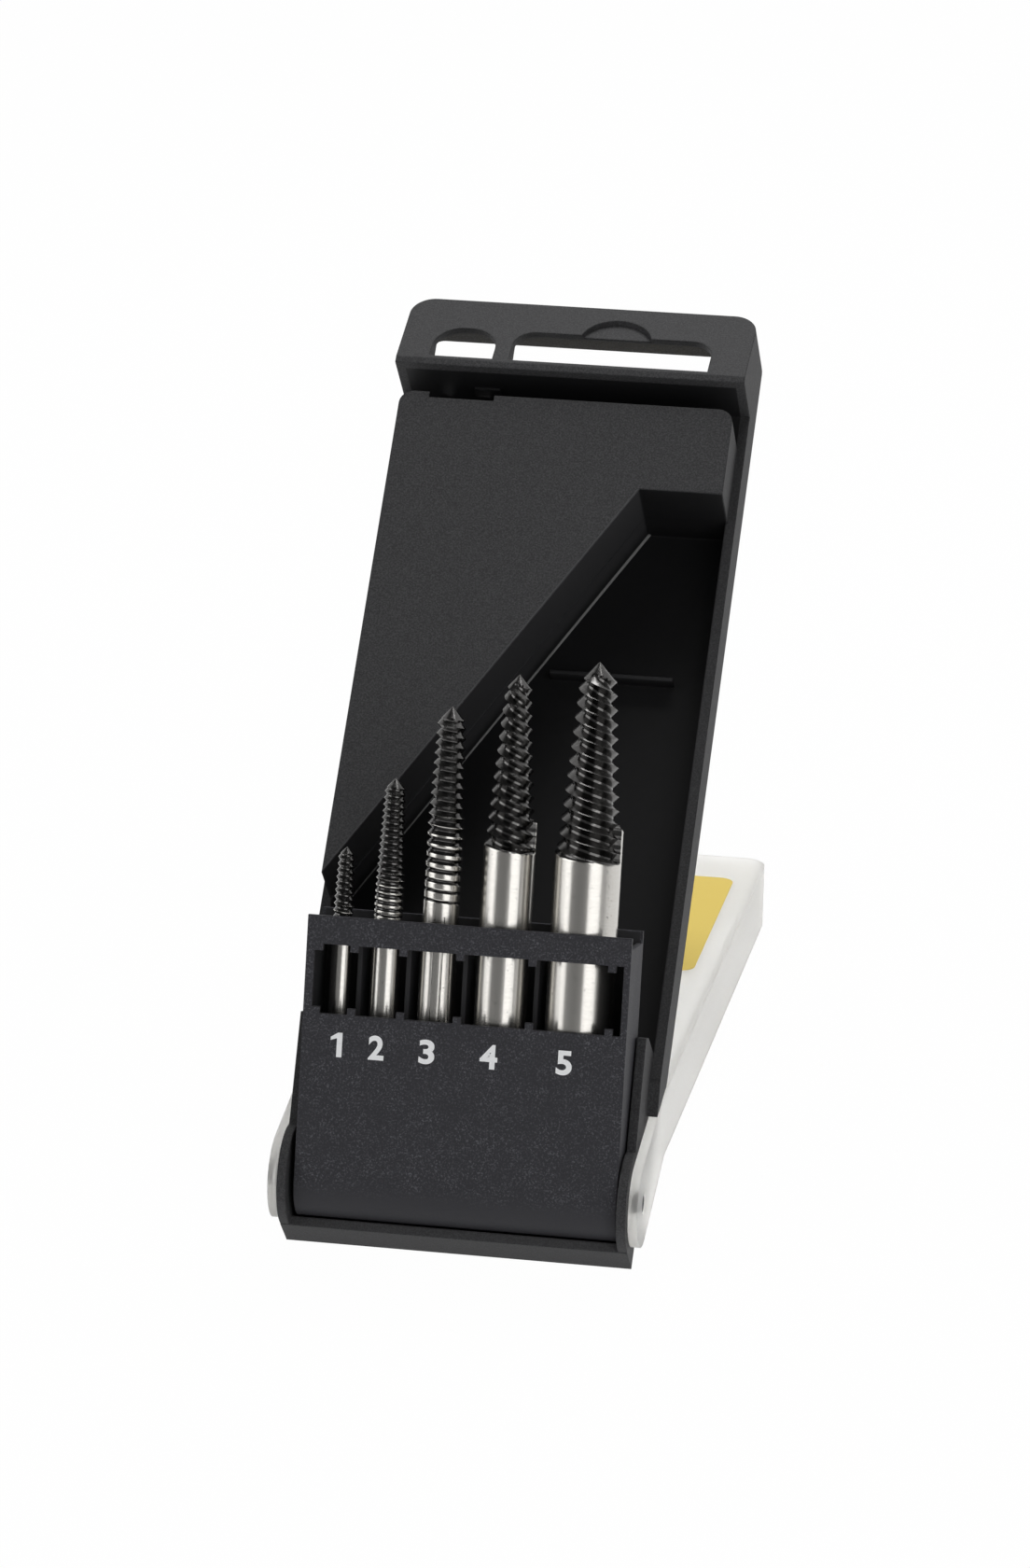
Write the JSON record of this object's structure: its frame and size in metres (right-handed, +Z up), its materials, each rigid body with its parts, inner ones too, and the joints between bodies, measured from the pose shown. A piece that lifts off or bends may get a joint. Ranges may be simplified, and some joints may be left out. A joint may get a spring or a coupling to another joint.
{
  "type": "screw extractor set",
  "caption": "Hinged plastic case standing open on its frosted lid, with a tilting holder of left-hand spiral screw extractors.",
  "frame": {"origin": "middle of the footprint on the table, under the opened case", "axes": "+Z up, -Y towards the front, where the holder faces, +X to the right of the tray as seen from the front"},
  "size_m": [0.073, 0.1858, 0.15],
  "materials": {
    "case_plastic": "fine textured black",
    "pin_plastic": "plain black",
    "holder_plastic": "speckled matt black",
    "frosted_plastic": "frosted translucent",
    "label_film": "plain yellow film",
    "tool_steel": "ground bright shank, black oxide thread"
  },
  "bodies": {
    "tray": {"tray": "case_plastic", "left_hinge_pin": "pin_plastic", "right_hinge_pin": "pin_plastic"},
    "holder": {"holder": "holder_plastic"},
    "cover": {"cover": "frosted_plastic", "cover_label": "label_film"},
    "extractor_1": {"extractor_1": "tool_steel"},
    "extractor_2": {"extractor_2": "tool_steel"},
    "extractor_3": {"extractor_3": "tool_steel"},
    "extractor_4": {"extractor_4": "tool_steel"},
    "extractor_5": {"extractor_5": "tool_steel"}
  },
  "joints": [
    {"name": "cover_hinge", "type": "hinge", "parent": "tray", "child": "cover", "pos_m": [0, -0.08288, 0.0139], "axis": [1, 0, 0], "range_deg": [-313.08, 0]},
    {"name": "holder_hinge", "type": "hinge", "parent": "tray", "child": "holder", "pos_m": [0, -0.08288, 0.0139], "axis": [1, 0, 0], "range_deg": [-30.4, 0]},
    {"name": "extractor_1_lift", "type": "slide", "parent": "holder", "child": "extractor_1", "axis": [0, 0.2974, 0.9548], "range_m": [0, 0.04]},
    {"name": "extractor_2_lift", "type": "slide", "parent": "holder", "child": "extractor_2", "axis": [0, 0.2974, 0.9548], "range_m": [0, 0.04]},
    {"name": "extractor_3_lift", "type": "slide", "parent": "holder", "child": "extractor_3", "axis": [0, 0.2974, 0.9548], "range_m": [0, 0.04]},
    {"name": "extractor_4_lift", "type": "slide", "parent": "holder", "child": "extractor_4", "axis": [0, 0.2974, 0.9548], "range_m": [0, 0.04]},
    {"name": "extractor_5_lift", "type": "slide", "parent": "holder", "child": "extractor_5", "axis": [0, 0.2974, 0.9548], "range_m": [0, 0.04]}
  ],
  "couplings": [
    {"joint": "holder_hinge", "follows": "cover_hinge", "ratio": 0.097098}
  ]
}
